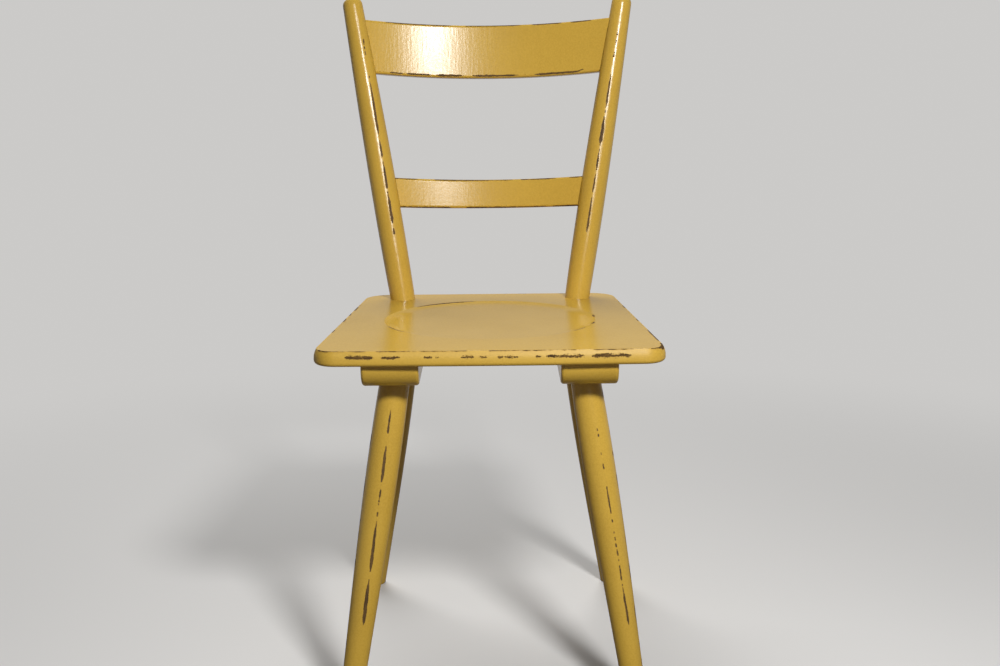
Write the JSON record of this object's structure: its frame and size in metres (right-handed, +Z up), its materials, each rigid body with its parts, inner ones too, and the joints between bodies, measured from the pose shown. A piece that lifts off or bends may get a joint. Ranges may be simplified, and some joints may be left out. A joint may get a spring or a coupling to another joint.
{
  "type": "dining chair",
  "caption": "Turned board chair with a dished trapezoid seat, splayed tapered legs, raked round back posts and curved crest and lower rails, in worn yellow paint.",
  "frame": {"origin": "on the floor, at the middle of the chair's bounding box", "axes": "+Z up, front of the chair faces -Y, +X to the right as seen from the front"},
  "size_m": [0.427, 0.4895, 0.8807],
  "materials": {
    "painted_wood": "satin mustard paint, rubbed through to dark wood on the edges",
    "joinery_wood": "bare hardwood end grain"
  },
  "bodies": {
    "root": {"seat_board": "painted_wood", "crest_rail": "painted_wood", "lower_rail": "painted_wood", "batten_left": "painted_wood", "leg_front_left": "painted_wood", "leg_rear_left": "painted_wood", "back_post_left": "painted_wood", "batten_right": "painted_wood", "leg_front_right": "painted_wood", "leg_rear_right": "painted_wood", "back_post_right": "painted_wood", "leg_wedge_front_left": "joinery_wood", "leg_wedge_rear_left": "joinery_wood", "post_wedge_left": "joinery_wood", "crest_peg_left": "joinery_wood", "lower_rail_peg_left": "joinery_wood", "leg_wedge_front_right": "joinery_wood", "leg_wedge_rear_right": "joinery_wood", "post_wedge_right": "joinery_wood", "crest_peg_right": "joinery_wood", "lower_rail_peg_right": "joinery_wood"}
  },
  "joints": []
}
